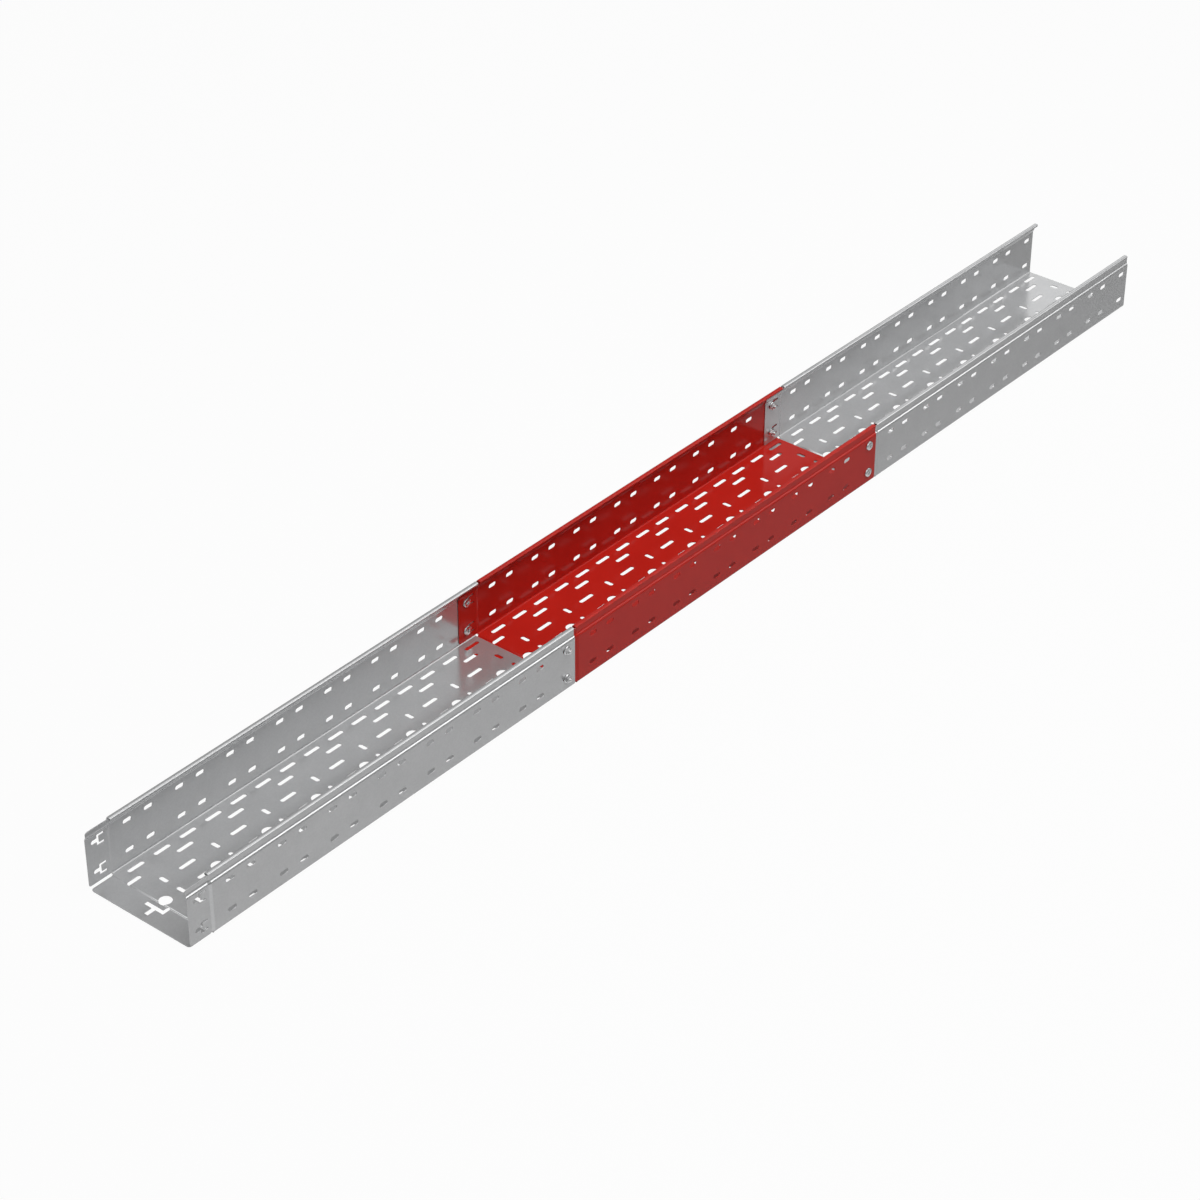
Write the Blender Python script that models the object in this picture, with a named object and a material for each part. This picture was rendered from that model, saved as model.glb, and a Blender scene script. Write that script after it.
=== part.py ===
"""Perforated cable tray: three lengths of folded sheet, joined end to end by nested coupler tabs and bolts.

X runs along the trays from the front coupler to the rear end, Y is across and Z is up.
The origin is the centre of the base. All sizes are in metres.
"""

import bpy
from math import acos, cos, degrees, radians, sin

# Sheet and clearances
SHEET = 0.0012
NEST_GAP = 0.0003
SEAT_GAP = 0.0003

# One tray, over its outer faces, with the coupler tab included in the length
TRAY_COUNT = 3
LENGTH = 0.800
WIDTH = 0.2012
HEIGHT = 0.1006

# Section: mid-line radius of the floor bend, then the shoulder and the C-shaped rim
FLOOR_BEND = 0.0018
SHOULDER_DROP = 0.01415
SHOULDER_BEND = 0.007
RIM_SETBACK = 0.0022
RIM_WIDTH = 0.0065
RIM_BEND = 0.0014
LIP_DROP = 0.0035

# Coupler: tabs at the front end, the joggle behind them, and the slack left at the joint
TAB = 0.0395
JOGGLE = 0.0025
END_SLACK = 0.0005
TAB_TOP_DROP = 0.0033
SIDE_TAB_ROUND = 0.004
FLOOR_TAB_ROUND = 0.005
SLIT_WIDTH = 0.0021

# Bolt and nut
BOLT = 0.0058
BOLT_LENGTH = 0.012
HEAD_WIDTH = 0.016
HEAD_HEIGHT = 0.0034
HEAD_EDGE = 0.0012
SOCKET_WIDTH = 0.0045
SOCKET_DEPTH = 0.0018
NUT_FLATS = 0.010
NUT_HEIGHT = 0.0055
NUT_CHAMFER = 0.0006

# Perforation: a pattern that repeats along the tray, set out from its rear end
PERIOD = 0.100
END_MARGIN = 0.021
SLOT_PLAY = 0.0012
LONG_SLOT = 0.030
SHORT_SLOT = 0.016
CENTRE_SLOT = 0.021
ROUND_HOLE = 0.020

# Rows of the floor, from the wall, and rows of the wall, from the underside and the top
OUTER_ROW = 0.0156
MIDDLE_ROW = 0.0356
INNER_ROW = 0.0656
LOW_ROW = 0.0216
HIGH_ROW_DROP = 0.0285

# Places within one period, as shares of it, measured from a crosswise slot
WALL_SHIFT = 0.40
OUTER_SHIFT = -0.05
MIDDLE_SHIFT = -0.30
INNER_SHIFT = 0.45
CENTRE_SHIFT = 0.425

# Spring cut-outs of the side tabs, measured from the bolt
CUT_TIP = 0.0075
CUT_BAR_START = 0.0030
CUT_BAR_END = 0.0070
CUT_ARM_END = 0.0165
CUT_ARM_WIDTH = 0.0035
CUT_HALF_HEIGHT = 0.0090

# Keyed cut-out of the floor tab, measured from the tab's front edge
KEY_START = 0.0117
KEY_BAR_START = 0.0260
KEY_BAR_END = 0.0330
KEY_ARM_END = 0.0412
KEY_ARM_WIDTH = 0.0065
KEY_HALF_WIDTH = 0.0185
KEY_LEG_WIDTH = 0.0075

# Facets
BEND_STEPS = 2
SHOULDER_STEPS = 2
CORNER_STEPS = 2
LONG_END_STEPS = 2
SHORT_END_STEPS = 1
HOLE_SIDES = 8
BOLT_SIDES = 8

TAB_SHIFT = SHEET + NEST_GAP
SLOT_WIDTH = BOLT + SLOT_PLAY
OVERLAP = TAB - END_SLACK
PITCH = LENGTH - OVERLAP
RUN_LENGTH = LENGTH + (TRAY_COUNT - 1) * PITCH
BODY_X = TAB + JOGGLE
BOLT_X = OVERLAP - END_MARGIN
PATTERN_X = LENGTH - END_MARGIN
WALL_Y = (WIDTH - SHEET) / 2
RISER_Y = WALL_Y - RIM_SETBACK
LIP_Y = RISER_Y - RIM_WIDTH
FLOOR_Z = TAB_SHIFT + SHEET / 2
RIM_Z = TAB_SHIFT + HEIGHT
TAB_TOP_Z = RIM_Z - TAB_TOP_DROP
BOLT_ROWS = (TAB_SHIFT + LOW_ROW, RIM_Z - HIGH_ROW_DROP)
TAB_FOOT_Z = FLOOR_Z + FLOOR_BEND
FLOOR_TAB_Y = WALL_Y - FLOOR_BEND - SLIT_WIDTH
REACH = 0.010
CORNER_REACH = 0.001


def clear_scene():
    for obj in list(bpy.data.objects):
        bpy.data.objects.remove(obj, do_unlink=True)


def make_material(name, colour, metallic, roughness):
    material = bpy.data.materials.new(name)
    material.use_nodes = True
    shader = material.node_tree.nodes["Principled BSDF"]
    shader.inputs["Base Color"].default_value = (*colour, 1.0)
    shader.inputs["Metallic"].default_value = metallic
    shader.inputs["Roughness"].default_value = roughness
    return material


def make_mesh(name, points, faces, material=None, smooth_angle=None):
    mesh = bpy.data.meshes.new(name)
    mesh.from_pydata(points, [], faces)
    if material:
        mesh.materials.append(material)
    if smooth_angle:
        mesh.shade_smooth()
        mesh.set_sharp_from_angle(angle=radians(smooth_angle))
    return mesh


def make_object(name, mesh, location=(0, 0, 0), rotation=(0, 0, 0)):
    obj = bpy.data.objects.new(name, mesh)
    bpy.context.scene.collection.objects.link(obj)
    obj.location = location
    obj.rotation_euler = rotation
    return obj


def arc(centre, radius, start, end, steps):
    """Points on an arc about a centre, from one angle to another in degrees."""
    angles = [radians(start + (end - start) * i / steps) for i in range(steps + 1)]
    return [(centre[0] + radius * cos(a), centre[1] + radius * sin(a)) for a in angles]


# Folded sheet


def half_section(inset=0.0):
    """Mid-line of one side, from the floor's edge up the wall and round the rim, as (y, z), moved inwards."""
    swing = degrees(acos(1 - RIM_SETBACK / (2 * SHOULDER_BEND)))
    rise = SHOULDER_BEND * sin(radians(swing))
    shoulder_z = RIM_Z - SHOULDER_DROP
    rim_bend_z = RIM_Z - SHEET / 2 - RIM_BEND
    bend = arc((WALL_Y - FLOOR_BEND, FLOOR_Z + FLOOR_BEND), FLOOR_BEND - inset, -90, 0, BEND_STEPS)
    low_centre = (WALL_Y - SHOULDER_BEND, shoulder_z - rise)
    low = arc(low_centre, SHOULDER_BEND - inset, 0, swing, SHOULDER_STEPS)
    high_centre = (RISER_Y + SHOULDER_BEND, shoulder_z + rise)
    high = arc(high_centre, SHOULDER_BEND + inset, 180 + swing, 180, SHOULDER_STEPS)
    rim = arc((RISER_Y - RIM_BEND, rim_bend_z), RIM_BEND - inset, 0, 90, BEND_STEPS)
    lip = arc((LIP_Y + RIM_BEND, rim_bend_z), RIM_BEND, 90, 180, BEND_STEPS)
    return bend + low + high[1:] + rim + lip + [(LIP_Y, RIM_Z - LIP_DROP)]


def folded_sheet():
    """Mid-surface of one tray: floor, walls and rims, with slits that part the floor tab from the side tabs."""
    body = half_section()
    tab = half_section(TAB_SHIFT)
    foot = BEND_STEPS
    riser_top = foot + 1 + 2 * SHOULDER_STEPS + 1
    tab[0] = (FLOOR_TAB_Y, FLOOR_Z - TAB_SHIFT)
    tab[riser_top] = (tab[riser_top][0], TAB_TOP_Z)
    rows = [(0, tab), (TAB, tab), (BODY_X, body), (LENGTH, body)]
    points = []
    index = {}
    faces = []

    def corner(row, side, column):
        key = (row, side, column)
        if key not in index:
            x, section = rows[row]
            index[key] = len(points)
            points.append((x, side * section[column][0], section[column][1]))
        return index[key]

    for row in range(len(rows) - 1):
        faces.append([corner(row, -1, 0), corner(row + 1, -1, 0), corner(row + 1, 1, 0), corner(row, 1, 0)])
        whole = rows[row][1] is body
        columns = range(len(body) - 1) if whole else range(foot, riser_top)
        for column in columns:
            near, far = corner(row, 1, column), corner(row + 1, 1, column)
            faces.append([near, far, corner(row + 1, 1, column + 1), corner(row, 1, column + 1)])
            near, far = corner(row, -1, column), corner(row + 1, -1, column)
            faces.append([far, near, corner(row, -1, column + 1), corner(row + 1, -1, column + 1)])
    return points, faces


# Outlines of the holes


def slot_outline(x, y, length, width, steps, crosswise=False):
    """A slot, as points around it: its ends are round, or square where a single step spans them."""
    half = width / 2
    reach = length / 2 - (half if steps > 1 else 0)
    ends = arc((reach, 0), half, -90, 90, steps) + arc((-reach, 0), half, 90, 270, steps)
    if crosswise:
        ends = [(-v, u) for u, v in ends]
    return [(x + u, y + v) for u, v in ends]


def stations(shift, step):
    """Places along the tray, set out from the rear end and kept on the body."""
    x = PATTERN_X + shift * PERIOD
    while x > BODY_X:
        if x < LENGTH:
            yield x
        x -= step


def floor_outlines():
    cross_y = WALL_Y - INNER_ROW
    for x in stations(0, PERIOD):
        for y in (-cross_y, 0, cross_y):
            yield slot_outline(x, y, SHORT_SLOT, SLOT_WIDTH, SHORT_END_STEPS, True)
    for x in stations(CENTRE_SHIFT, PERIOD):
        yield slot_outline(x, 0, CENTRE_SLOT, SLOT_WIDTH, LONG_END_STEPS)
    for x in stations(MIDDLE_SHIFT, PERIOD):
        yield arc((x, 0), ROUND_HOLE / 2, 0, 360 - 360 / HOLE_SIDES, HOLE_SIDES - 1)
    lines = (
        (OUTER_ROW, OUTER_SHIFT, PERIOD / 2),
        (MIDDLE_ROW, MIDDLE_SHIFT, PERIOD),
        (INNER_ROW, INNER_SHIFT, PERIOD),
    )
    for row, shift, step in lines:
        for x in stations(shift, step):
            start = max(x - LONG_SLOT / 2, TAB)
            end = x + LONG_SLOT / 2
            for side in (-1, 1):
                y = side * (WALL_Y - row)
                yield slot_outline((start + end) / 2, y, end - start, SLOT_WIDTH, LONG_END_STEPS)


def wall_outlines():
    for z in BOLT_ROWS:
        for shift in (0, WALL_SHIFT):
            for x in stations(shift, PERIOD):
                yield slot_outline(x, z, SHORT_SLOT, SLOT_WIDTH, SHORT_END_STEPS)


def spring_outline(z):
    """A slot for the bolt, opened by a bar and two arms that free a tongue behind it."""
    half = SLOT_WIDTH / 2
    inner = CUT_HALF_HEIGHT - CUT_ARM_WIDTH
    tip = arc((-CUT_TIP + half, 0), half, 90, 270, LONG_END_STEPS)
    lower = [
        (CUT_BAR_START, -half),
        (CUT_BAR_START, -CUT_HALF_HEIGHT),
        (CUT_ARM_END, -CUT_HALF_HEIGHT),
        (CUT_ARM_END, -inner),
        (CUT_BAR_END, -inner),
    ]
    upper = [(u, -v) for u, v in reversed(lower)]
    return [(BOLT_X + u, z + v) for u, v in tip + lower + upper]


def key_outline():
    """The keyed cut-out of the floor tab, with its single arm on the -Y side."""
    leg = KEY_LEG_WIDTH / 2
    return [
        (KEY_START, leg),
        (KEY_START, -leg),
        (KEY_BAR_START, -leg),
        (KEY_BAR_START, -KEY_HALF_WIDTH),
        (KEY_ARM_END, -KEY_HALF_WIDTH),
        (KEY_ARM_END, -KEY_HALF_WIDTH + KEY_ARM_WIDTH),
        (KEY_BAR_END, -KEY_HALF_WIDTH + KEY_ARM_WIDTH),
        (KEY_BAR_END, KEY_HALF_WIDTH),
        (KEY_BAR_START, KEY_HALF_WIDTH),
        (KEY_BAR_START, leg),
    ]


def corner_outline(edge, radius, side):
    """What is cut away to round a front corner, with the material on the given side of the edge."""
    curve = arc((radius, edge + side * radius), radius, 180, 180 + side * 90, CORNER_STEPS)
    beyond = edge - side * CORNER_REACH
    return [(-REACH, edge + side * radius)] + curve + [(radius, beyond), (-REACH, beyond)]


def add_prism(points, faces, outline, low, high, place):
    """A prism on an outline, with its ends at two levels and its faces out."""
    area = sum(a[0] * b[1] - b[0] * a[1] for a, b in zip(outline, outline[1:] + outline[:1]))
    if area < 0:
        outline = outline[::-1]
    count = len(outline)
    base = len(points)
    points.extend(place(u, v, low) for u, v in outline)
    points.extend(place(u, v, high) for u, v in outline)
    faces.append([base + i for i in reversed(range(count))])
    faces.append([base + count + i for i in range(count)])
    for i in range(count):
        j = (i + 1) % count
        faces.append([base + i, base + j, base + count + j, base + count + i])


def perforation():
    """All that is punched out of one tray, as one mesh of prisms."""
    points = []
    faces = []

    def flat(u, v, w):
        return u, v, w

    def upright(u, v, w):
        return u, -w, v

    floor_low = -REACH
    floor_high = FLOOR_Z + REACH
    for outline in floor_outlines():
        add_prism(points, faces, outline, floor_low, floor_high, flat)
    add_prism(points, faces, key_outline(), floor_low, floor_high, flat)
    side_reach = WALL_Y + REACH
    for outline in wall_outlines():
        add_prism(points, faces, outline, -side_reach, side_reach, upright)
    for z in BOLT_ROWS:
        add_prism(points, faces, spring_outline(z), -side_reach, side_reach, upright)
    for edge, side in ((TAB_FOOT_Z, 1), (TAB_TOP_Z, -1)):
        outline = corner_outline(edge, SIDE_TAB_ROUND, side)
        add_prism(points, faces, outline, -side_reach, side_reach, upright)
    for side in (-1, 1):
        outline = corner_outline(side * FLOOR_TAB_Y, FLOOR_TAB_ROUND, -side)
        add_prism(points, faces, outline, floor_low, FLOOR_Z, flat)
    return points, faces


# Turned and hexagonal pieces, with their axis along Z and the seat at the origin


def turned(rings, closed):
    """A solid from rings of points stacked along Z, shut at both ends or closed into a ring."""
    count = len(rings[0])
    points = [point for ring in rings for point in ring]
    faces = []
    pairs = [(i, i + 1) for i in range(len(rings) - 1)]
    if closed:
        pairs.append((len(rings) - 1, 0))
    else:
        faces.append([i for i in reversed(range(count))])
        faces.append([(len(rings) - 1) * count + i for i in range(count)])
    for low, high in pairs:
        for i in range(count):
            j = (i + 1) % count
            faces.append([low * count + i, low * count + j, high * count + j, high * count + i])
    return points, faces


def circle(diameter, z, sides):
    return [(x, y, z) for x, y in arc((0, 0), diameter / 2, 0, 360 - 360 / sides, sides - 1)]


def hexagon(flats, z):
    return circle(flats / cos(radians(30)), z, 6)


def bolt_shape():
    """A bolt with a domed head: its seat is at the origin and its shank runs down."""
    rings = [
        circle(BOLT - 2 * HEAD_EDGE, -BOLT_LENGTH, BOLT_SIDES),
        circle(BOLT, -BOLT_LENGTH + HEAD_EDGE, BOLT_SIDES),
        circle(BOLT, 0, BOLT_SIDES),
        circle(HEAD_WIDTH, 0, BOLT_SIDES),
        circle(HEAD_WIDTH, HEAD_EDGE, BOLT_SIDES),
        circle(HEAD_WIDTH * 0.62, HEAD_HEIGHT, BOLT_SIDES),
        circle(SOCKET_WIDTH, HEAD_HEIGHT, BOLT_SIDES),
        circle(SOCKET_WIDTH, HEAD_HEIGHT - SOCKET_DEPTH, BOLT_SIDES),
    ]
    return turned(rings, False)


def nut_shape():
    """A hexagonal nut, chamfered at its outer end: its seat is at the origin and it stands up."""
    bore = BOLT + 2 * NEST_GAP
    rings = [
        hexagon(bore, 0),
        hexagon(NUT_FLATS, 0),
        hexagon(NUT_FLATS, NUT_HEIGHT - NUT_CHAMFER),
        hexagon(NUT_FLATS - 2 * NUT_CHAMFER, NUT_HEIGHT),
        hexagon(bore, NUT_HEIGHT),
    ]
    return turned(rings, True)


def build():
    steel = make_material("Galvanised steel", (0.60, 0.61, 0.62), 0.85, 0.45)
    paint = make_material("Red paint", (0.42, 0.03, 0.02), 0.0, 0.40)
    zinc = make_material("Zinc plate", (0.72, 0.73, 0.74), 1.0, 0.30)

    finishes = [("front_tray", steel), ("middle_tray", paint), ("rear_tray", steel)]
    sheet_points, sheet_faces = folded_sheet()
    cut_mesh = make_mesh("Punched shapes", *perforation())
    for number, (name, finish) in enumerate(finishes):
        place = (number * PITCH - RUN_LENGTH / 2, 0, 0)
        cutter = make_object(name + "_punch", cut_mesh, place)
        cutter.hide_render = True
        cutter.display_type = "WIRE"
        tray = make_object(name, make_mesh(name, sheet_points, sheet_faces, finish), place)
        thicken = tray.modifiers.new("Sheet", "SOLIDIFY")
        thicken.thickness = SHEET
        thicken.offset = 0
        thicken.use_even_offset = True
        punch = tray.modifiers.new("Punch", "BOOLEAN")
        punch.operation = "DIFFERENCE"
        punch.solver = "EXACT"
        punch.object = cutter

    bolt_mesh = make_mesh("Bolt", *bolt_shape(), zinc, 40)
    nut_mesh = make_mesh("Nut", *nut_shape(), zinc, 40)
    inner_seat = WALL_Y - TAB_SHIFT - SHEET / 2 - SEAT_GAP
    outer_seat = WALL_Y + SHEET / 2 + SEAT_GAP
    joints = (("front", 1, inner_seat, outer_seat, -1), ("rear", 2, outer_seat, inner_seat, 1))
    for joint, number, head_seat, nut_seat, facing in joints:
        x = number * PITCH + BOLT_X - RUN_LENGTH / 2
        for side, side_name in ((-1, "right"), (1, "left")):
            for z, level in zip(BOLT_ROWS, ("lower", "upper")):
                label = f"{joint}_joint_{side_name}_{level}"
                head_turn = (radians(-90 * side * facing), 0, 0)
                nut_turn = (radians(90 * side * facing), 0, 0)
                make_object(label + "_bolt", bolt_mesh, (x, side * head_seat, z), head_turn)
                make_object(label + "_nut", nut_mesh, (x, side * nut_seat, z), nut_turn)


clear_scene()
build()
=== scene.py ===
"""Studio view of a run of perforated cable tray: folded sheet, couplers, bolts and nuts in fine detail."""

from math import acos, cos, degrees, pi, radians, sin, tan

import bpy
import numpy as np
from mathutils import Matrix, Vector
from mathutils.geometry import delaunay_2d_cdt


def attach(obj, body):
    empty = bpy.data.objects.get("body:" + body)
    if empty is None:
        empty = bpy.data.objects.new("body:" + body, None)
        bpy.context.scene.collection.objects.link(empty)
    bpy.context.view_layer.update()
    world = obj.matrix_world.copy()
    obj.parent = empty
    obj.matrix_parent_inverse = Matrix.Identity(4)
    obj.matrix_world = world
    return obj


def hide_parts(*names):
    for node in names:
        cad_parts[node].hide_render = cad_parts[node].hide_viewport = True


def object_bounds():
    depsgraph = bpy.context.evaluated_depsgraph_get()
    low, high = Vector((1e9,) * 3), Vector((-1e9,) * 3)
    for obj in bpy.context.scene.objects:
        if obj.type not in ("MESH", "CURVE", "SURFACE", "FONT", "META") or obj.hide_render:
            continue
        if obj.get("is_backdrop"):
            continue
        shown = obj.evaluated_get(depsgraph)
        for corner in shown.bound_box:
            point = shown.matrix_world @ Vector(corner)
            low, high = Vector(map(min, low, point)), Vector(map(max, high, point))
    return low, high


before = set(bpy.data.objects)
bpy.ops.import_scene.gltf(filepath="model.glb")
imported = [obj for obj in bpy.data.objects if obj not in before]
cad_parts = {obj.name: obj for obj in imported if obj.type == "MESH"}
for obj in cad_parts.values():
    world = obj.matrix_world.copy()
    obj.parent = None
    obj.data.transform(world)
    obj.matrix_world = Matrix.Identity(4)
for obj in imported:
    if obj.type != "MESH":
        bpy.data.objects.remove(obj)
cad_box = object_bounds()

# Sheet, clearances and one tray
SHEET = 0.0012
NEST_GAP = 0.0003
SEAT_GAP = 0.0003
TRAY_COUNT = 3
LENGTH = 0.800
WIDTH = 0.2012
HEIGHT = 0.1006

# Section
FLOOR_BEND = 0.0035
SHOULDER_DROP = 0.01415
SHOULDER_BEND = 0.007
RIM_SETBACK = 0.0022
RIM_WIDTH = 0.0065
RIM_BEND = 0.0020
RETURN_DROP = 0.0046
RETURN_BEND = 0.0009
RETURN_WIDTH = 0.0038

# Coupler
TAB = 0.0395
JOGGLE = 0.0025
WALL_JOGGLE = 0.0070
END_SLACK = 0.0005
TAB_TOP_DROP = 0.0033
TAB_FOOT_RISE = 0.0018
FLOOR_TAB_INSET = 0.0039
SIDE_TAB_ROUND = 0.004
FLOOR_TAB_ROUND = 0.005
TAB_ROOT_ROUND = 0.002
SLIT_ROUND = 0.0004
CORNER_ROUND = 0.0005
END_TRIM = 0.0020
RIM_TRIM = 0.0012

# Perforation: rows from the wall, the floor or the rim's top, and shifts in periods from the rear end
PERIOD = 0.100
END_MARGIN = 0.021
SLOT_PLAY = 0.0012
LONG_SLOT = 0.030
SHORT_SLOT = 0.016
CENTRE_SLOT = 0.021
ROUND_HOLE = 0.020
OUTER_ROW = 0.0156
MIDDLE_ROW = 0.0356
INNER_ROW = 0.0656
LOW_ROW = 0.0216
HIGH_ROW_DROP = 0.0285
WALL_SHIFT = 0.40
OUTER_SHIFT = -0.05
MIDDLE_SHIFT = -0.30
INNER_SHIFT = 0.45
CENTRE_SHIFT = 0.425

# Cut-outs of the side tabs, from the bolt, and of the floor tab, from its front edge
CUT_ROUND = 0.0008
CUT_TIP = 0.0075
CUT_BAR_START = 0.0030
CUT_BAR_END = 0.0070
CUT_ARM_END = 0.0165
CUT_ARM_WIDTH = 0.0035
CUT_HALF_HEIGHT = 0.0090
KEY_START = 0.0117
KEY_BAR_START = 0.0260
KEY_BAR_END = 0.0330
KEY_ARM_END = 0.0412
KEY_ARM_WIDTH = 0.0065
KEY_ARM_ROUND = 0.003
KEY_HEEL_ROUND = 0.001
KEY_HALF_WIDTH = 0.0185
KEY_LEG_WIDTH = 0.0075

# Bolt and nut
BOLT = 0.0058
BOLT_LENGTH = 0.012
TIP_EDGE = 0.0006
TIP_CHAMFER = 0.0004
THREAD_START = 0.0002
THREAD_STOP = 0.0006
THREAD_PITCH = 0.0010
THREAD_DEPTH = 0.00035
THREAD_FLANK = 1.6
THREAD_CREST = 0.3
HEAD_WIDTH = 0.016
HEAD_HEIGHT = 0.0034
HEAD_EDGE = 0.0012
DOME_FULLNESS = 0.8
SOCKET_FLATS = 0.0060
SOCKET_DEPTH = 0.0026
SOCKET_FLOOR = 0.42
NUT_FLATS = 0.010
NUT_HEIGHT = 0.0055
CROWN_ANGLE = 30
FLANGE_WIDTH = 0.0140
FLANGE_EDGE = 0.0010
FLANGE_SLOPE = 0.30

# How the bolts and nuts are turned on their axes, in degrees
SPIN_START = 11
SPIN_STEP = 37

# Fine detail: the sheet's rounded edge, the unit of the fasteners' small roundings, and steps of curves
EDGE_ROUND = 0.00016
FINE = 0.0001
EDGE_STEPS = 2
CUT_STEPS = 4
CORNER_STEPS = 6
BEND_STEPS = 6
JOGGLE_STEPS = 8
SLOT_END_STEPS = 8
HOLE_SIDES = 32
ROUND_SIDES = 48
THREAD_ROWS = 6
DOME_STEPS = 7
SHARP_ANGLE = 32

# Mesh making: rounding where the full radius won't fit, lines past the blank's edge, and small limits
FULL_ROUND = 0.98
MARGIN = 0.010
STRAIGHT = 1e-6
WELD = 1e-7
PROBE = 1e-4

# Places that follow from the sizes
TAB_SHIFT = SHEET + NEST_GAP
SLOT_WIDTH = BOLT + SLOT_PLAY
OVERLAP = TAB - END_SLACK
PITCH = LENGTH - OVERLAP
RUN_LENGTH = LENGTH + (TRAY_COUNT - 1) * PITCH
BODY_X = TAB + JOGGLE
BOLT_X = OVERLAP - END_MARGIN
PATTERN_X = LENGTH - END_MARGIN
WALL_Y = (WIDTH - SHEET) / 2
RISER_Y = WALL_Y - RIM_SETBACK
LIP_Y = RISER_Y - RIM_WIDTH
FLOOR_EDGE = WALL_Y - FLOOR_BEND
FLOOR_TAB_Y = WALL_Y - FLOOR_TAB_INSET
FLOOR_Z = TAB_SHIFT + SHEET / 2
RIM_Z = TAB_SHIFT + HEIGHT
BOLT_ROWS = (TAB_SHIFT + LOW_ROW, RIM_Z - HIGH_ROW_DROP)

# Finishes
GALVANISED_DARK = (0.54, 0.545, 0.55)
GALVANISED_LIGHT = (0.64, 0.645, 0.65)
GALVANISED_ROUGHNESS = (0.18, 0.21)
PAINT_DARK = (0.49, 0.015, 0.009)
PAINT_LIGHT = (0.53, 0.018, 0.011)
PAINT_ROUGHNESS = (0.13, 0.18)
ZINC_DARK = (0.66, 0.66, 0.67)
ZINC_LIGHT = (0.80, 0.80, 0.80)
ZINC_ROUGHNESS = (0.16, 0.24)
WHITE = (1.0, 1.0, 1.0, 1.0)

# Studio floor
FLOOR_REACH = 9.0
FLOOR_DROP = 0.0002
FLOOR_TONE = 0.52
FLOOR_DRIFT = 0.02
FLOOR_SHOWN = 0.96

# Even light on matt surfaces
AMBIENT = 0.20

# Studio seen in reflections: tones by height, from -1 straight down to 1 straight up
STUDIO_LOW = ((-1.0, 0.72), (-0.62, 0.66), (-0.48, 0.43), (-0.3, 0.28), (0.02, 0.28))
STUDIO_TOP = ((0.80, 1.4), (0.92, 0.50))
STUDIO = (*STUDIO_LOW, (0.30, 0.32), (0.46, 0.36), (0.56, 0.44), (0.65, 0.23), (0.75, 1.3), *STUDIO_TOP)
STUDIO_FRONT = (*STUDIO_LOW, (0.36, 0.60), (0.46, 0.90), (0.66, 0.92), (0.74, 1.4), *STUDIO_TOP)

# Between these values of a direction's Y, the studio changes to its front
FRONT_FADE = (0.10, -0.25)

# Lamps: direction from the run, distance, width and height, watts, and whether only reflections show it
LAMPS = {
    "Key": ((0.56, -0.77, 0.24), 9.0, (6.0, 3.4), 134, True),
    "Top": ((0.05, -0.35, 1.0), 3.0, (4.0, 2.0), 84, False),
    "Side": ((0.828, 0.369, 0.423), 9.0, (2.6, 2.4), 14, True),
    "Back": ((-0.35, 0.60, 0.72), 9.0, (5.0, 4.0), 42, True),
    "Low": ((0.05, -0.80, -0.60), 9.0, (3.6, 3.0), 7, True),
}

# Camera
CAMERA_PLACE = (-3.4397, -2.7061, 2.8587)
CAMERA_BACK = (-0.6386, -0.5308, 0.5572)
CAMERA_ROLL = 0.0009
CAMERA_LENS = 99.136
CAMERA_SENSOR = 36.0
CAMERA_REACH = 60.0


def arc(centre, radius, start, end, steps):
    """Points on an arc about a centre, from one angle to another in degrees."""
    angles = [radians(start + (end - start) * i / steps) for i in range(steps + 1)]
    return [(centre[0] + radius * cos(a), centre[1] + radius * sin(a)) for a in angles]


# The section as a table: distance along the mid-line, place and direction


def half_section():
    """Mid-line of one side as rows of (y, z, direction), the direction in radians from +Y towards +Z."""
    swing = degrees(acos(1 - RIM_SETBACK / (2 * SHOULDER_BEND)))
    rise = SHOULDER_BEND * sin(radians(swing))
    shoulder_z = RIM_Z - SHOULDER_DROP
    rim_z = RIM_Z - SHEET / 2 - RIM_BEND
    return_z = RIM_Z - RETURN_DROP + SHEET / 2
    bends = (
        ((FLOOR_EDGE, FLOOR_Z + FLOOR_BEND), FLOOR_BEND, -90, 0, 1),
        ((WALL_Y - SHOULDER_BEND, shoulder_z - rise), SHOULDER_BEND, 0, swing, 1),
        ((RISER_Y + SHOULDER_BEND, shoulder_z + rise), SHOULDER_BEND, 180 + swing, 180, -1),
        ((RISER_Y - RIM_BEND, rim_z), RIM_BEND, 0, 90, 1),
        ((LIP_Y + RIM_BEND, rim_z), RIM_BEND, 90, 180, 1),
        ((LIP_Y + RETURN_BEND, return_z + RETURN_BEND), RETURN_BEND, 180, 270, 1),
    )
    rows = [(0.0, FLOOR_Z, 0.0)]
    for centre, radius, start, end, turn in bends:
        for i, (y, z) in enumerate(arc(centre, radius, start, end, BEND_STEPS)):
            angle = radians(start + (end - start) * i / BEND_STEPS)
            rows.append((y, z, angle + turn * pi / 2))
    rows.append((LIP_Y + RETURN_WIDTH, return_z, rows[-1][2]))
    return np.array(rows)


def bend_row(number):
    """Row of the section's table where a bend starts, the bend at the floor being the first."""
    return 1 + (number - 1) * (BEND_STEPS + 1)


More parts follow.
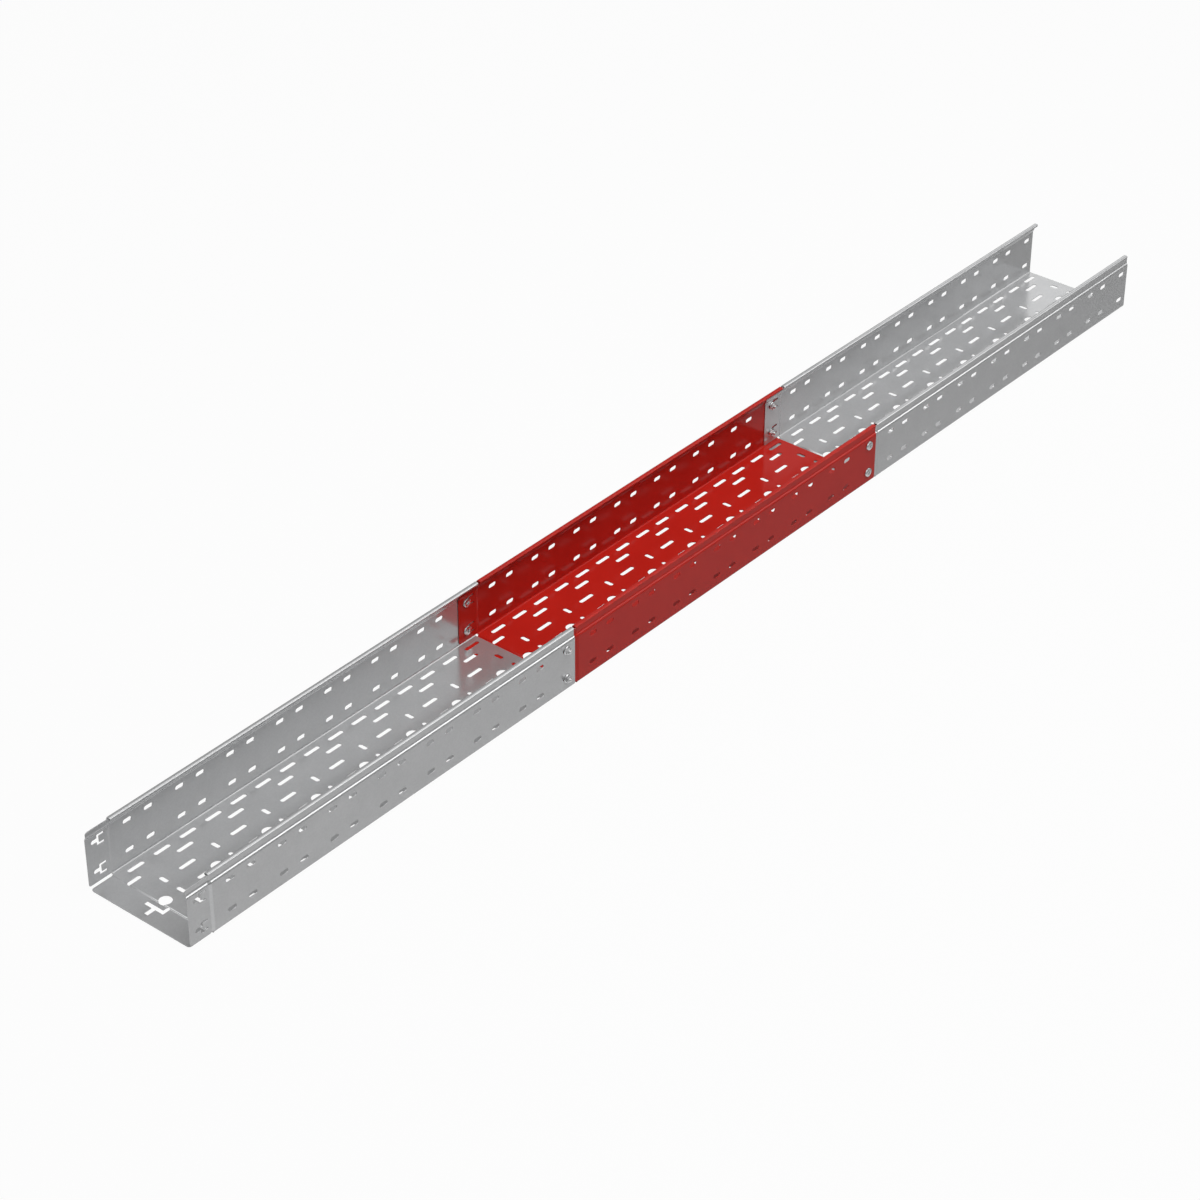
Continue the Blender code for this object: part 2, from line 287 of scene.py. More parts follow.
SECTION = half_section()
STEPS = np.hypot(*np.diff(SECTION[:, :2], axis=0).T)
REACH = np.concatenate([[0.0], np.cumsum(STEPS)])
DIRECTION = np.unwrap(SECTION[:, 2])
FOOT = REACH[bend_row(1) + BEND_STEPS]
SHOULDER_FOOT = REACH[bend_row(2)]
RISER_TOP = REACH[bend_row(4)]
LIP_END = REACH[-1]
TAB_FOOT = FLOOR_EDGE + FLOOR_BEND * acos(1 - TAB_FOOT_RISE / FLOOR_BEND)
TAB_TOP = RISER_TOP + (RIM_Z - TAB_TOP_DROP) - SECTION[bend_row(4)][1]


def along(z):
    """How far along the mid-line a height on the wall lies."""
    return FOOT + z - (FLOOR_Z + FLOOR_BEND)


def joggle(x, reach):
    """Share of the tab's offset at a place on the tray, and its slope. The step is longest on the wall."""
    marks = (FLOOR_EDGE, FOOT, SHOULDER_FOOT, RISER_TOP)
    length = np.interp(reach, marks, (JOGGLE, WALL_JOGGLE, WALL_JOGGLE, JOGGLE))
    t = np.clip((x - TAB) / length, 0.0, 1.0)
    share = 1 - t * t * (3 - 2 * t)
    slope = -6 * t * (1 - t) / length
    return share, slope


def on_sheet(x, s, height):
    """Points and normals of the folded sheet for places (x, s) on it, at a height above its mid-surface."""
    side = np.where(s < 0, -1.0, 1.0)
    reach = np.abs(s)
    y = np.interp(reach, REACH, SECTION[:, 0])
    z = np.interp(reach, REACH, SECTION[:, 1])
    angle = np.interp(reach, REACH, DIRECTION)
    beyond = np.maximum(reach - LIP_END, 0.0)
    y = y + beyond * np.cos(angle)
    z = z + beyond * np.sin(angle)
    normal_y = -np.sin(angle)
    normal_z = np.cos(angle)
    share, slope = joggle(x, reach)
    shift = np.where(reach < (FLOOR_EDGE + FOOT) / 2, -TAB_SHIFT, TAB_SHIFT)
    tilt = -slope * shift
    size = np.sqrt(1 + tilt * tilt)
    offset = share * shift
    normals = np.column_stack([tilt / size, side * normal_y / size, normal_z / size])
    points = np.column_stack([x, side * (y + offset * normal_y), z + offset * normal_z])
    return points + height[:, None] * normals, normals


# Outlines in the flat pattern: x along the tray, s across it


def slot_outline(x, s, length, width, crosswise=False):
    """A slot with round ends, along the tray or across it."""
    half = width / 2
    reach = length / 2 - half
    ends = arc((reach, 0), half, -90, 90, SLOT_END_STEPS) + arc((-reach, 0), half, 90, 270, SLOT_END_STEPS)
    if crosswise:
        ends = [(-v, u) for u, v in ends]
    return [(x + u, s + v) for u, v in ends]


def mirrored(corners):
    """The same corners on the other side of the centre line, in reverse order."""
    return [(x, -s, *own) for x, s, *own in reversed(corners)]


def rounded(corners, radius, steps=CUT_STEPS):
    """A closed outline with each corner rounded; a corner may carry its own radius."""
    outline = []
    count = len(corners)
    for i in range(count):
        before = Vector(corners[i - 1][:2])
        corner = Vector(corners[i][:2])
        after = Vector(corners[(i + 1) % count][:2])
        own = corners[i][2] if len(corners[i]) > 2 else radius
        into = (corner - before).normalized()
        out = (after - corner).normalized()
        turn = into.cross(out)
        if own == 0 or abs(turn) < STRAIGHT:
            outline.append(tuple(corner))
            continue
        way = 1 if turn > 0 else -1
        half = into.angle(out) / 2
        room = min((corner - before).length, (after - corner).length)
        own = min(own, FULL_ROUND / 2 * room / tan(half))
        start = corner - into * own * tan(half)
        centre = start + Vector((-into.y, into.x)) * own * way
        for k in range(steps + 1):
            spin = Matrix.Rotation(way * 2 * half * k / steps, 2)
            outline.append(tuple(centre + spin @ (start - centre)))
    return outline


def stations(shift, step):
    """Places along the tray, set out from the rear end and kept on the body."""
    x = PATTERN_X + shift * PERIOD
    while x > BODY_X:
        if x < LENGTH:
            yield x
        x -= step


def floor_outlines():
    """The floor's openings: cross slots, centre slots, round holes and three rows of long slots each side."""
    cross_y = WALL_Y - INNER_ROW
    for x in stations(0, PERIOD):
        for s in (-cross_y, 0, cross_y):
            yield slot_outline(x, s, SHORT_SLOT, SLOT_WIDTH, True)
    for x in stations(CENTRE_SHIFT, PERIOD):
        yield slot_outline(x, 0, CENTRE_SLOT, SLOT_WIDTH)
    for x in stations(MIDDLE_SHIFT, PERIOD):
        yield arc((x, 0), ROUND_HOLE / 2, 0, 360 - 360 / HOLE_SIDES, HOLE_SIDES - 1)
    lines = (
        (OUTER_ROW, OUTER_SHIFT, PERIOD / 2),
        (MIDDLE_ROW, MIDDLE_SHIFT, PERIOD),
        (INNER_ROW, INNER_SHIFT, PERIOD),
    )
    for row, shift, step in lines:
        for x in stations(shift, step):
            start = max(x - LONG_SLOT / 2, TAB)
            end = x + LONG_SLOT / 2
            for side in (-1, 1):
                yield slot_outline((start + end) / 2, side * (WALL_Y - row), end - start, SLOT_WIDTH)


def wall_outlines():
    """The walls' openings: two rows of short slots, with two slots in each period."""
    for z in BOLT_ROWS:
        for shift in (0, WALL_SHIFT):
            for x in stations(shift, PERIOD):
                for side in (-1, 1):
                    yield slot_outline(x, side * along(z), SHORT_SLOT, SLOT_WIDTH)


def spring_outline(z):
    """A side tab's cut-out round its bolt: a short slot, a cross bar and two arms that run back."""
    half = SLOT_WIDTH / 2
    inner = CUT_HALF_HEIGHT - CUT_ARM_WIDTH
    arm_round = FULL_ROUND * CUT_ARM_WIDTH / 2
    lower = [
        (-CUT_TIP, -half, FULL_ROUND * half),
        (CUT_BAR_START, -half),
        (CUT_BAR_START, -CUT_HALF_HEIGHT, 2 * CUT_ROUND),
        (CUT_ARM_END, -CUT_HALF_HEIGHT, arm_round),
        (CUT_ARM_END, -inner, arm_round),
        (CUT_BAR_END, -inner),
    ]
    outline = rounded(lower + mirrored(lower), CUT_ROUND)
    return [(BOLT_X + u, along(z) + v) for u, v in outline]


def key_outline():
    """The floor tab's keyed cut-out: a leg, a cross bar and one arm."""
    leg = KEY_LEG_WIDTH / 2
    arm = KEY_HALF_WIDTH - KEY_ARM_WIDTH
    corners = [
        (KEY_START, leg),
        (KEY_START, -leg),
        (KEY_BAR_START, -leg),
        (KEY_BAR_START, -KEY_HALF_WIDTH, KEY_HEEL_ROUND),
        (KEY_ARM_END, -KEY_HALF_WIDTH, KEY_ARM_ROUND),
        (KEY_ARM_END, -arm, KEY_ARM_ROUND),
        (KEY_BAR_END, -arm),
        (KEY_BAR_END, KEY_HALF_WIDTH),
        (KEY_BAR_START, KEY_HALF_WIDTH),
        (KEY_BAR_START, leg),
    ]
    return rounded(corners, CUT_ROUND)


def blank_outline():
    """The blank's own edge, with its tabs, slits and set-back rims."""
    right = [
        (0, FLOOR_TAB_Y, FLOOR_TAB_ROUND),
        (TAB, FLOOR_TAB_Y, TAB_ROOT_ROUND),
        (BODY_X, FLOOR_EDGE, SLIT_ROUND),
        (BODY_X, TAB_FOOT, SLIT_ROUND),
        (TAB, TAB_FOOT, 0),
        (0, TAB_FOOT, SIDE_TAB_ROUND),
        (0, TAB_TOP, SIDE_TAB_ROUND),
        (TAB, TAB_TOP),
        (BODY_X, RISER_TOP, 0),
        (BODY_X, LIP_END),
        (LENGTH - RIM_TRIM, LIP_END),
        (LENGTH - RIM_TRIM, RISER_TOP),
        (LENGTH - END_TRIM, RISER_TOP - RIM_BEND),
    ]
    return rounded(right[::-1] + mirrored(right)[::-1], CORNER_ROUND, CORNER_STEPS)


# The sheet: its flat pattern is cut into triangles, folded and given a thickness and rounded edges


def moved(outline, distance):
    """An outline moved outwards by a distance, with mitred corners."""
    points = np.array(outline)
    ahead = np.roll(points, -1, axis=0)
    area = np.sum(points[:, 0] * ahead[:, 1] - ahead[:, 0] * points[:, 1])
    if area < 0:
        points = points[::-1]
    into = points - np.roll(points, 1, axis=0)
    into /= np.linalg.norm(into, axis=1)[:, None]
    out = np.roll(into, -1, axis=0)
    share = distance / (1 + np.sum(into * out, axis=1))
    return points + share[:, None] * np.column_stack([into[:, 1] + out[:, 1], -into[:, 0] - out[:, 0]])


def flat_pattern():
    """Places (x, s) and triangles of the flat pattern, a rounded edge's width short of each cut."""
    holes = [*floor_outlines(), *wall_outlines(), key_outline()]
    for z in BOLT_ROWS:
        outline = spring_outline(z)
        holes.append(outline)
        holes.append([(x, -s) for x, s in outline])
    outlines = [moved(blank_outline(), -EDGE_ROUND)]
    outlines += [moved(hole, EDGE_ROUND) for hole in holes]
    places = []
    rings = []
    for outline in outlines:
        rings.append(list(range(len(places), len(places) + len(outline))))
        places.extend(Vector(point) for point in outline)
    edges = []

    def add_line(start, end):
        """A line that the triangles have to follow."""
        edges.append((len(places), len(places) + 1))
        places.extend((Vector(start), Vector(end)))

    for reach in REACH[1:-1]:
        for side in (-1, 1):
            add_line((-MARGIN, side * reach), (LENGTH + MARGIN, side * reach))
    lengths = (JOGGLE, WALL_JOGGLE)
    cuts = {TAB + length * step / JOGGLE_STEPS for length in lengths for step in range(JOGGLE_STEPS + 1)}
    for x in sorted(cuts):
        add_line((x, -LIP_END - MARGIN), (x, LIP_END + MARGIN))
    found, _, triangles, _, _, owners = delaunay_2d_cdt(places, edges, rings, 0, WELD)
    kept = [list(face) for face, owner in zip(triangles, owners) if list(owner) == [0]]
    used = sorted({index for face in kept for index in face})
    renumber = {index: i for i, index in enumerate(used)}
    places = np.array([found[index][:] for index in used])
    faces = np.array([[renumber[index] for index in face] for face in kept])
    return places, faces


def outward_directions(places, faces):
    """The pattern's border edges, and the direction out of the material at each border point."""
    halves = np.concatenate([faces[:, [0, 1]], faces[:, [1, 2]], faces[:, [2, 0]]])
    present = {(a, b) for a, b in halves.tolist()}
    border = np.array([(a, b) for a, b in halves.tolist() if (b, a) not in present])
    step = places[border[:, 1]] - places[border[:, 0]]
    step /= np.linalg.norm(step, axis=1)[:, None]
    right = np.column_stack([step[:, 1], -step[:, 0]])
    total = np.zeros_like(places)
    for end in (0, 1):
        np.add.at(total, border[:, end], right)
    size = np.maximum(np.sum(total * total, axis=1), 1.0)
    return border, 2 * total / size[:, None]


def folded_sheet():
    """Points, faces and normals of one tray, with its front edge at x = 0."""
    places, faces = flat_pattern()
    border, outward = outward_directions(places, faces)
    rim = np.unique(border)
    place_of = np.full(len(places), -1)
    place_of[rim] = np.arange(len(rim))
    x, s = places.T
    half = SHEET / 2
    inner, inner_normals = on_sheet(x, s, np.full(len(x), half))
    outer, outer_normals = on_sheet(x, s, np.full(len(x), -half))
    points = [inner, outer]
    normals = [inner_normals, -outer_normals]
    rings = [rim]
    base = 2 * len(places)
    turns = [90 * k / EDGE_STEPS for k in range(1, EDGE_STEPS + 1)]
    for turn, upper in [(turn, 1) for turn in turns] + [(turn, -1) for turn in reversed(turns)]:
        a = radians(turn)
        moved_x = x[rim] + outward[rim, 0] * EDGE_ROUND * sin(a)
        moved_s = s[rim] + outward[rim, 1] * EDGE_ROUND * sin(a)
        height = np.full(len(rim), upper * (half - EDGE_ROUND * (1 - cos(a))))
        ring, up = on_sheet(moved_x, moved_s, height)
        further, _ = on_sheet(moved_x + outward[rim, 0] * PROBE, moved_s + outward[rim, 1] * PROBE, height)
        out = further - ring
        out /= np.linalg.norm(out, axis=1)[:, None]
        points.append(ring)
        normals.append(upper * cos(a) * up + sin(a) * out)
        rings.append(base + np.arange(len(rim)))
        base += len(rim)
    rings.append(rim + len(places))
    a = place_of[border[:, 0]]
    b = place_of[border[:, 1]]
    quads = [np.column_stack([low[b], low[a], high[a], high[b]]) for low, high in zip(rings, rings[1:])]
    all_faces = [*faces.tolist(), *(faces[:, ::-1] + len(places)).tolist(), *np.concatenate(quads).tolist()]
    return np.concatenate(points), all_faces, np.concatenate(normals)


def make_piece(name, material, points, faces, normals=None):
    """A smooth mesh with one material, and with its own normals where they are given."""
    mesh = bpy.data.meshes.new(name)
    mesh.from_pydata([tuple(p) for p in points], [], faces)
    mesh.materials.append(material)
    mesh.shade_smooth()
    if normals is not None:
        mesh.normals_split_custom_set_from_vertices([tuple(n) for n in normals])
    piece = bpy.data.objects.new(name, mesh)
    bpy.context.scene.collection.objects.link(piece)
    return piece


# Bolts and nuts, with their axis along Z and their seat at the origin


def ring_points(radius_at, z_at):
    """A ring of points round the axis, with a radius for each angle and a height for each radius."""
    points = []
    for i in range(ROUND_SIDES):
        a = 2 * pi * i / ROUND_SIDES
        r = radius_at(a)
        points.append((r * cos(a), r * sin(a), z_at(r)))
    return points


def level_ring(radius_at, z):
    """A ring at one height, with a radius for each angle."""
    return ring_points(radius_at, lambda r: z)


def plain_ring(radius, z):
    """A round ring at one height."""
    return level_ring(lambda a: radius, z)


def hexagon_radius(flats):
    """The radius of a hexagon for each angle, from its width across flats."""
    def radius(a):
        return flats / 2 / cos((a + pi / 6) % (pi / 3) - pi / 6)
    return radius


def thread_radius(a, z):
    """Radius of the threaded shank at an angle and a height, within the chamfer of its tip."""
    turn = (z / THREAD_PITCH - a / (2 * pi)) % 1
    groove = THREAD_FLANK * abs(2 * turn - 1) - THREAD_CREST
    depth = THREAD_DEPTH * min(1.0, max(0.0, groove))
    chamfer = BOLT / 2 - THREAD_DEPTH - TIP_CHAMFER + (z + BOLT_LENGTH)
    return min(BOLT / 2 - depth, chamfer)


def turned(rings, closed):
    """A solid from rings stacked along Z, shut at both ends or closed into a ring."""
    points = [point for ring in rings for point in ring]
    faces = []
    pairs = [(i, i + 1) for i in range(len(rings) - 1)]
    if closed:
        pairs.append((len(rings) - 1, 0))
    else:
        faces.append(list(range(ROUND_SIDES))[::-1])
        faces.append([(len(rings) - 1) * ROUND_SIDES + i for i in range(ROUND_SIDES)])
    for low, high in pairs:
        for i in range(ROUND_SIDES):
            j = (i + 1) % ROUND_SIDES
            corners = ((low, i), (low, j), (high, j), (high, i))
            faces.append([ring * ROUND_SIDES + place for ring, place in corners])
    return points, faces


def bolt_shape():
    """A domed bolt with a hexagonal socket and a rolled thread."""
    radius = BOLT / 2
    rings = [plain_ring(radius - THREAD_DEPTH - TIP_EDGE, -BOLT_LENGTH)]
    rows = int(BOLT_LENGTH / THREAD_PITCH * THREAD_ROWS)
    threaded = BOLT_LENGTH - THREAD_START - THREAD_STOP
    for row in range(rows):
        z = THREAD_START - BOLT_LENGTH + threaded * row / (rows - 1)
        rings.append(level_ring(lambda a, z=z: thread_radius(a, z), z))
    rings.append(plain_ring(radius, -3 * FINE))
    rings.append(plain_ring(radius + 2 * FINE, 0))
    head = HEAD_WIDTH / 2
    rings.append(plain_ring(head - 3 * FINE, 0))
    rings.append(plain_ring(head, 3 * FINE))
    rings.append(plain_ring(head, HEAD_EDGE - 3 * FINE))
    dome = HEAD_HEIGHT - HEAD_EDGE
    dome_edge = head - 2 * FINE
    mouth = SOCKET_FLATS / 2 / cos(pi / 6) + 4 * FINE
    for k in range(1, DOME_STEPS + 1):
        r = dome_edge - (dome_edge - mouth) * k / DOME_STEPS
        rings.append(plain_ring(r, HEAD_EDGE + dome * sin(acos(r / head)) ** DOME_FULLNESS))
    top = rings[-1][0][2]
    socket = hexagon_radius(SOCKET_FLATS)
    rings.append(level_ring(lambda a: socket(a) + FINE, top - FINE / 2))
    rings.append(level_ring(socket, top - 2 * FINE))
    rings.append(level_ring(socket, top - SOCKET_DEPTH))
    rings.append(plain_ring(SOCKET_FLOOR * SOCKET_FLATS, top - SOCKET_DEPTH - 2 * FINE))
    return turned(rings, False)


def nut_shape():
    """A hexagonal flange nut with a turned chamfer on its outer face and a countersunk bore."""
    bore = BOLT / 2 + NEST_GAP
    crown = NUT_FLATS / 2 - FINE
    flange = FLANGE_WIDTH / 2
    hexagon = hexagon_radius(NUT_FLATS)

    def flange_top(r):
        return FLANGE_EDGE + (flange - r) * FLANGE_SLOPE

    def chamfer(r):
        return NUT_HEIGHT - max(0.0, r - crown) * tan(radians(CROWN_ANGLE))

    rings = [
        plain_ring(bore, 5 * FINE),
        plain_ring(bore + 4 * FINE, 0),
        plain_ring(flange - 3 * FINE, 0),
        plain_ring(flange, 2 * FINE),
        plain_ring(flange, FLANGE_EDGE - 2 * FINE),
        plain_ring(flange - 2 * FINE, FLANGE_EDGE),
        ring_points(lambda a: hexagon(a) + 2 * FINE, flange_top),
        ring_points(hexagon, lambda r: flange_top(r) + 3 * FINE),
        ring_points(hexagon, lambda r: chamfer(r) - 1.5 * FINE),
        ring_points(lambda a: hexagon(a) - 1.2 * FINE, lambda r: chamfer(r) - 0.5 * FINE),
        plain_ring(crown, NUT_HEIGHT - 0.5 * FINE),
        plain_ring(crown - 2 * FINE, NUT_HEIGHT),
        plain_ring(bore + 4 * FINE, NUT_HEIGHT),
        plain_ring(bore, NUT_HEIGHT - 5 * FINE),
    ]
    return turned(rings, True)


# Materials


class Nodes:
    """Short calls for the nodes of one material or world."""

    def __init__(self, owner):
        owner.use_nodes = True
        self.owner = owner
        self.tree = owner.node_tree

    def put(self, socket, value):
        """Links an input to another node's output, or sets its value."""
        if isinstance(value, bpy.types.NodeSocket):
            self.tree.links.new(value, socket)
        else:
            socket.default_value = value

    def fill(self, node, inputs):
        """Sets a node's inputs by name, with underscores for spaces."""
        for name, value in inputs.items():
            self.put(node.inputs[name.replace("_", " ")], value)

    def add(self, kind, **inputs):
        node = self.tree.nodes.new(kind)
        self.fill(node, inputs)
        return node

    def moved(self, offset, stretch=(1, 1, 1)):
        """Places on the object, moved so that two sheets don't look alike."""
        place = self.add("ShaderNodeTexCoord").outputs["Object"]
        return self.add("ShaderNodeMapping", Vector=place, Location=offset, Scale=stretch).outputs[0]

    def noise(self, place, scale, detail, roughness):
        node = self.add("ShaderNodeTexNoise", Vector=place, Scale=scale, Detail=detail, Roughness=roughness)
        return node.outputs["Fac"]

    def ramp(self, value, *stops):
        """A colour for a value, from stops of (position, colour)."""
        node = self.add("ShaderNodeValToRGB", Fac=value)
        elements = node.color_ramp.elements
        while len(elements) < len(stops):
            elements.new(0.5)
        for element, (position, colour) in zip(elements, stops):
            element.position = position
            element.color = (*colour, 1.0)
        return node.outputs["Color"]

    def span(self, value, low, high, start=0.0, end=1.0):
        """A value from start to end, brought to low to high."""
        node = self.add("ShaderNodeMapRange", Value=value, From_Min=start, From_Max=end)
        self.fill(node, {"To_Min": low, "To_Max": high})
        return node.outputs[0]

    def blend(self, first, second, share):
        """Two colours mixed; the second may be a plain colour."""
        node = self.tree.nodes.new("ShaderNodeMix")
        node.data_type = "RGBA"
        sockets = {socket.name: socket for socket in node.inputs if socket.type == "RGBA"}
        if not isinstance(second, bpy.types.NodeSocket):
            second = (*second, 1.0)
        self.put(sockets["A"], first)
        self.put(sockets["B"], second)
        self.put(node.inputs[0], share)
        return next(socket for socket in node.outputs if socket.type == "RGBA")

    def bump(self, height, distance, strength):
        return self.add("ShaderNodeBump", Height=height, Distance=distance, Strength=strength)

    def mixed(self, share, first, second):
        """Two shaders mixed, with the second one's share."""
        node = self.tree.nodes.new("ShaderNodeMixShader")
        for socket, value in zip(node.inputs, (share, first, second)):
            self.put(socket, value)
        return node.outputs[0]

    def shader(self, **inputs):
        """The material's main shader with these inputs."""
        node = self.tree.nodes["Principled BSDF"]
        self.fill(node, inputs)
        return node.outputs[0]

    def show(self, output, shader):
        self.put(self.tree.nodes[output].inputs["Surface"], shader)


def galvanised(name, offset):
    """Hot-dip galvanised sheet: fine crystals, a cloudy coat and faint rolling lines."""
    n = Nodes(bpy.data.materials.new(name))
    place = n.moved(offset)
    crystals = n.add("ShaderNodeTexVoronoi", Vector=place, Scale=420.0, Randomness=1.0)
    grain = n.add("ShaderNodeSeparateColor", Color=crystals.outputs["Color"]).outputs[0]
    fine = n.noise(place, scale=900.0, detail=4.0, roughness=0.6)
    cloud = n.noise(place, scale=26.0, detail=4.0, roughness=0.55)
    lines = n.noise(n.moved(offset, (0.04, 1.0, 1.0)), scale=1400.0, detail=2.0, roughness=0.5)
    base = n.ramp(grain, (0.0, GALVANISED_DARK), (1.0, GALVANISED_LIGHT))
    base = n.blend(base, n.ramp(cloud, (0.3, GALVANISED_DARK), (0.7, GALVANISED_LIGHT)), share=0.5)
    base = n.blend(base, n.ramp(fine, (0.35, GALVANISED_DARK), (0.65, GALVANISED_LIGHT)), share=0.35)
    rough = n.span(grain, *GALVANISED_ROUGHNESS)
    rolled = n.bump(lines, distance=0.00002, strength=0.05)
    relief = n.bump(grain, distance=0.00003, strength=0.04)
    n.put(relief.inputs["Normal"], rolled.outputs["Normal"])
    n.shader(Base_Color=base, Metallic=0.68, Roughness=rough, Normal=relief.outputs["Normal"])
    return n.owner


def red_paint(name, offset):
    """Sprayed red paint over sheet: a slight orange peel and a slow drift in tone."""
    n = Nodes(bpy.data.materials.new(name))
    place = n.moved(offset)
    drift = n.noise(place, scale=12.0, detail=3.0, roughness=0.5)
    peel = n.noise(place, scale=700.0, detail=2.0, roughness=0.5)
    specks = n.noise(place, scale=2600.0, detail=2.0, roughness=0.5)
    base = n.ramp(drift, (0.3, PAINT_DARK), (0.7, PAINT_LIGHT))
    base = n.blend(base, PAINT_DARK, share=n.span(specks, 0.0, 0.25, start=0.55, end=0.8))
    rough = n.span(peel, *PAINT_ROUGHNESS, start=0.3, end=0.7)
    relief = n.bump(peel, distance=0.00004, strength=0.15).outputs["Normal"]
    n.shader(Base_Color=base, Metallic=0.0, Roughness=rough, Normal=relief, Specular_IOR_Level=0.22)
    return n.owner


def zinc_plate(name, offset):
    """Bright zinc plate on small turned and formed parts, with fine marks."""
    n = Nodes(bpy.data.materials.new(name))
    place = n.moved(offset)
    marks = n.noise(place, scale=1500.0, detail=3.0, roughness=0.6)
    tone = n.noise(place, scale=240.0, detail=2.0, roughness=0.5)
    base = n.ramp(tone, (0.3, ZINC_DARK), (0.7, ZINC_LIGHT))
    rough = n.span(marks, *ZINC_ROUGHNESS, start=0.3, end=0.7)
    relief = n.bump(marks, distance=0.00002, strength=0.10).outputs["Normal"]
    n.shader(Base_Color=base, Metallic=1.0, Roughness=rough, Normal=relief)
    return n.owner


def studio_white(name):
    """Pale floor that shows as white to the camera and still keeps a soft shadow."""
    n = Nodes(bpy.data.materials.new(name))
    tone = n.noise(n.moved((0, 0, 0)), scale=3.0, detail=2.0, roughness=0.5)
    colour = n.ramp(tone, (0.0, (FLOOR_TONE,) * 3), (1.0, (FLOOR_TONE + FLOOR_DRIFT,) * 3))
    matt = n.shader(Base_Color=colour, Roughness=0.9, Specular_IOR_Level=0.0)
    white = n.add("ShaderNodeEmission", Color=WHITE, Strength=1.0).outputs[0]
    path = n.add("ShaderNodeLightPath")
    share = n.span(path.outputs["Is Camera Ray"], 0.0, FLOOR_SHOWN)
    n.show("Material Output", n.mixed(share, matt, white))
    return n.owner


# The run


def place_trays():
    """Three sheets of one shape, end to end, each with a pattern of its own."""
    finishes = (
        ("front_tray", "galvanised_steel", galvanised("Galvanised sheet, front", (0.0, 0.0, 0.0))),
        ("middle_tray", "red_paint", red_paint("Red paint", (0.3, 0.1, 0.2))),
        ("rear_tray", "galvanised_steel", galvanised("Galvanised sheet, rear", (2.7, 0.6, 0.3))),
    )
    sheet = folded_sheet()
    for number, (node, slot, material) in enumerate(finishes):
        piece = make_piece(node + "_sheet", material, *sheet)
        piece.location.x = number * PITCH - RUN_LENGTH / 2
        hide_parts(node)
        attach(piece, "root")


def place_fastener(node, material, shape, place, tilt, spin):
    """One bolt or nut, turned on its own axis and then tilted from upright, in degrees."""
    piece = make_piece(node + "_fine", material, *shape)
    piece.data.set_sharp_from_angle(angle=radians(SHARP_ANGLE))
    turn = Matrix.Rotation(radians(tilt), 4, "X") @ Matrix.Rotation(radians(spin), 4, "Z")
    piece.matrix_world = Matrix.Translation(place) @ turn
    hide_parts(node)
    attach(piece, "root")


def place_fasteners():
    """Two bolts and nuts on each wall at each joint: heads inside at the front joint, outside at the rear."""
    zinc = zinc_plate("Zinc plate", (0.2, 0.4, 0.1))
    bolt = bolt_shape()
    nut = nut_shape()
    inner_seat = WALL_Y - TAB_SHIFT - SHEET / 2 - SEAT_GAP
    outer_seat = WALL_Y + SHEET / 2 + SEAT_GAP
    joints = (("front", 1, inner_seat, outer_seat, -1), ("rear", 2, outer_seat, inner_seat, 1))
    spin = SPIN_START
    for joint, tray, head_seat, nut_seat, facing in joints:
        x = tray * PITCH + BOLT_X - RUN_LENGTH / 2
        kinds = (("bolt", bolt, head_seat, -facing), ("nut", nut, nut_seat, facing))
        for side, side_name in ((-1, "right"), (1, "left")):
            for z, level in zip(BOLT_ROWS, ("lower", "upper")):
                for kind, shape, seat, turn in kinds:
                    node = f"{joint}_joint_{side_name}_{level}_{kind}"
                    place_fastener(node, zinc, shape, (x, side * seat, z), 90 * side * turn, spin)
                    spin += SPIN_STEP


# Studio


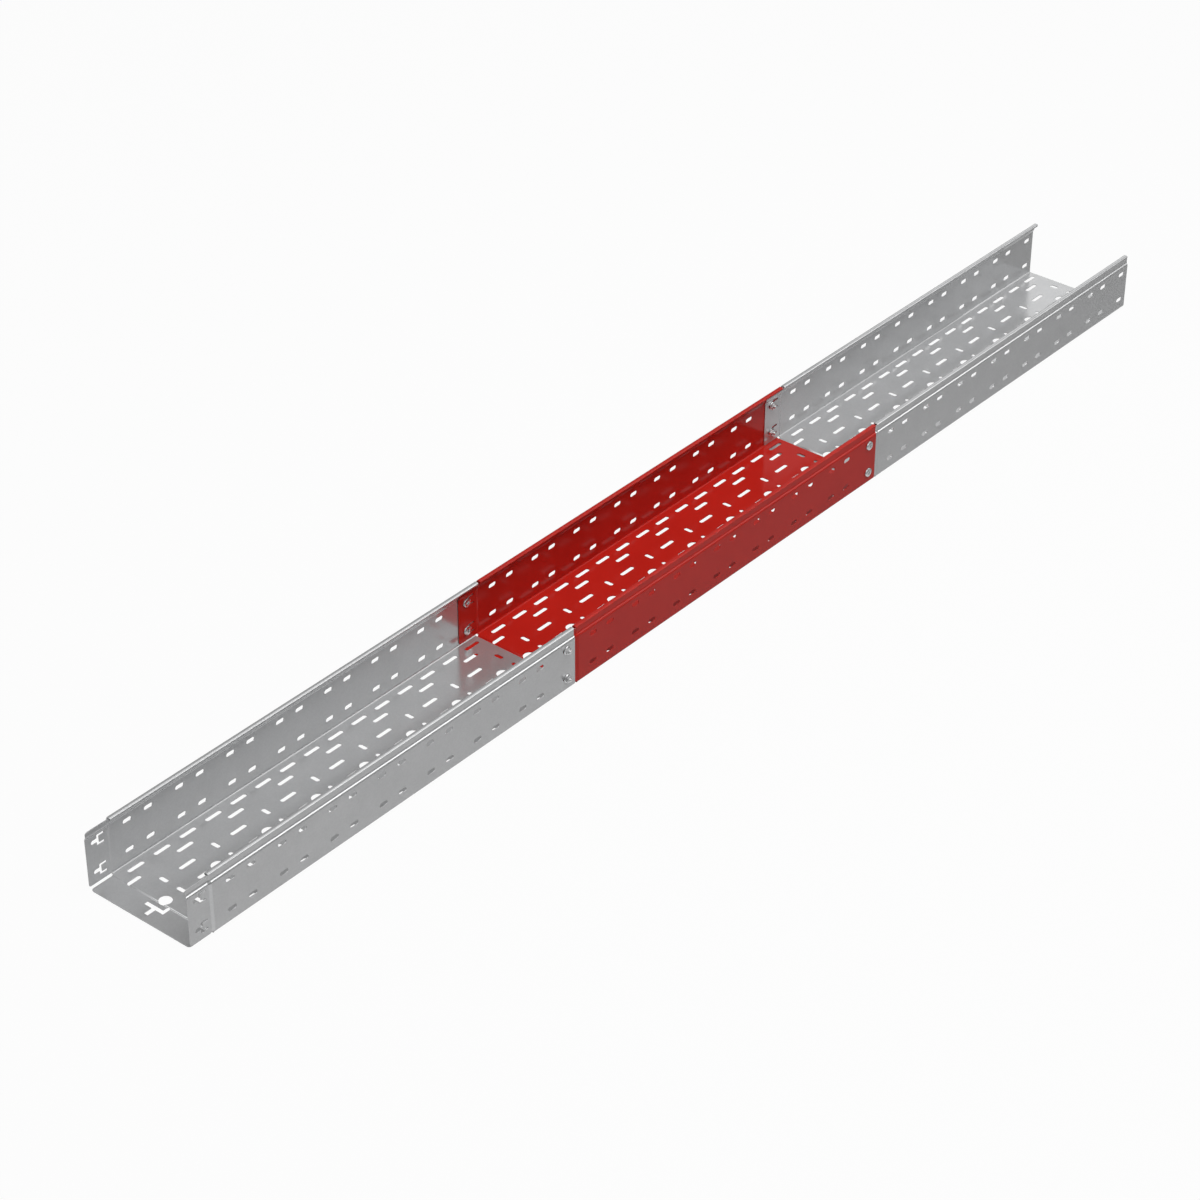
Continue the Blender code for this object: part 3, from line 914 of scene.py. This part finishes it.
def add_stage():
    """A plain floor just under the run, which reflections don't show."""
    mesh = bpy.data.meshes.new("Floor")
    signs = ((-1, -1), (1, -1), (1, 1), (-1, 1))
    mesh.from_pydata([(x * FLOOR_REACH, y * FLOOR_REACH, 0) for x, y in signs], [], [[0, 1, 2, 3]])
    mesh.materials.append(studio_white("Studio floor"))
    floor = bpy.data.objects.new("studio_floor", mesh)
    bpy.context.scene.collection.objects.link(floor)
    floor.location.z = -FLOOR_DROP
    floor.visible_glossy = False
    floor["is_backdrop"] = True


def add_light(name, direction, distance, size, watts, reflections_only):
    """A rectangular lamp that points at the run's middle and that the camera doesn't see."""
    light = bpy.data.lights.new(name, "AREA")
    light.shape = "RECTANGLE"
    light.size, light.size_y = size
    light.energy = watts
    lamp = bpy.data.objects.new(name, light)
    bpy.context.scene.collection.objects.link(lamp)
    towards = Vector(direction).normalized()
    lamp.location = towards * distance
    lamp.rotation_euler = towards.to_track_quat("Z", "Y").to_euler()
    lamp.visible_camera = False
    lamp.visible_glossy = reflections_only
    lamp.visible_diffuse = not reflections_only


def add_world():
    """White behind the object, a plain ambient light, and a pale studio that only reflections show."""
    world = bpy.data.worlds.new("Studio")
    bpy.context.scene.world = world
    n = Nodes(world)

    def background(colour, strength):
        return n.add("ShaderNodeBackground", Color=colour, Strength=strength).outputs[0]

    def graded(levels):
        """A studio whose tone depends on height."""
        stops = [((level + 1) / 2, (tone,) * 3) for level, tone in levels]
        return background(n.ramp(height, *stops), 1.0)

    path = n.add("ShaderNodeLightPath")
    direction = n.add("ShaderNodeTexCoord").outputs["Generated"]
    axes = n.add("ShaderNodeSeparateXYZ", Vector=direction)
    height = n.span(axes.outputs["Z"], 0.0, 1.0, start=-1.0)
    facing = n.span(axes.outputs["Y"], 0.0, 1.0, *FRONT_FADE)
    studio = n.mixed(facing, graded(STUDIO), graded(STUDIO_FRONT))
    inner = n.mixed(path.outputs["Is Glossy Ray"], background(WHITE, AMBIENT), studio)
    outer = n.mixed(path.outputs["Is Camera Ray"], inner, background(WHITE, 1.0))
    n.show("World Output", outer)


def add_camera():
    """A long lens from the front right, above the run, looking along it."""
    camera = bpy.data.cameras.new("Camera")
    camera.sensor_width = CAMERA_SENSOR
    camera.lens = CAMERA_LENS
    camera.clip_end = CAMERA_REACH
    holder = bpy.data.objects.new("Camera", camera)
    bpy.context.scene.collection.objects.link(holder)
    back = Vector(CAMERA_BACK).normalized()
    right = Vector((0.0, 0.0, 1.0)).cross(back).normalized()
    right = (right + back.cross(right) * CAMERA_ROLL).normalized()
    up = back.cross(right)
    turn = Matrix((right, up, back)).transposed().to_4x4()
    holder.matrix_world = Matrix.Translation(CAMERA_PLACE) @ turn
    bpy.context.scene.camera = holder


place_trays()
place_fasteners()
add_stage()
add_world()
for lamp_name, lamp_values in LAMPS.items():
    add_light(lamp_name, *lamp_values)
add_camera()

bpy.context.scene.view_settings.view_transform = "Standard"
boxes = {"cad": cad_box, "visual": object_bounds()}
{name: [[float(v) for v in corner] for corner in box] for name, box in boxes.items()}
